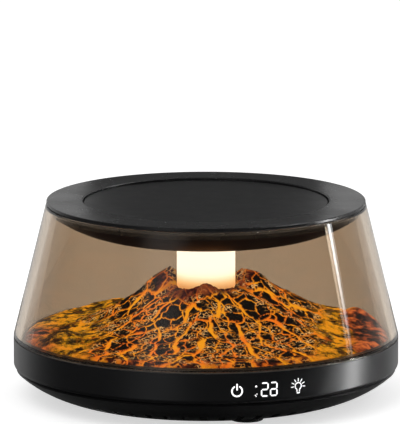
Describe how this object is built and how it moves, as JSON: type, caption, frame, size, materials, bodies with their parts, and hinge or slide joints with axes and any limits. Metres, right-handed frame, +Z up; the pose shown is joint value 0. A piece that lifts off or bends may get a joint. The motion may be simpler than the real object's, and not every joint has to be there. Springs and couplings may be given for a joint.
{
  "type": "electric mug warmer",
  "caption": "Round electric mug warmer with a sunk heating plate, smoked cone shade, glowing volcano landscape and touch signs on a black base.",
  "frame": {"origin": "middle of the base on the surface that the feet stand on", "axes": "+Z up through the heating plate, -Y towards the touch signs, +Y towards the power inlet"},
  "size_m": [0.14, 0.14, 0.0721],
  "materials": {
    "base_plastic": "satin",
    "top_plastic": "satin",
    "plate_coating": "satin",
    "smoked_glass": "polished",
    "rock": "rough with glowing cracks",
    "opal": "satin",
    "gasket": "matte",
    "black_rubber": "matte",
    "circuit_board": "satin",
    "component": "gloss",
    "sign_light": "gloss",
    "lamp": "gloss",
    "steel": "satin",
    "spring_steel": "bright",
    "mica": "satin",
    "felt": "matte",
    "lead": "matte"
  },
  "bodies": {
    "root": {"base_housing": "base_plastic", "bottom_cover": "base_plastic", "rubber_feet": "black_rubber", "base_screws": "steel", "control_board": "circuit_board", "board_screws": "steel", "board_components": "component", "display_light_guide": "component", "display_board": "circuit_board", "digit_module": "sign_light", "touch_springs": "spring_steel", "sign_lights": "sign_light", "display_cable": "lead", "power_jack": "component", "support_tube": "steel", "tube_nuts": "steel", "tube_washers": "steel", "lava_light_board": "circuit_board", "lava_lights": "lamp", "column_light_board": "circuit_board", "column_lights": "lamp", "jack_leads": "lead", "heater_leads": "lead", "lava_light_leads": "lead", "volcano": "rock", "light_column": "opal", "smoked_shade": "smoked_glass", "shade_gasket": "gasket", "top_gasket": "black_rubber", "top_housing": "top_plastic", "ceiling_dish": "top_plastic", "top_screws": "steel", "heating_plate": "plate_coating", "plate_gasket": "black_rubber", "heating_element": "mica", "insulation_pad": "felt", "heater_bracket": "steel", "bracket_screws": "steel", "temperature_sensor": "component", "thermal_fuse": "component"}
  },
  "joints": []
}
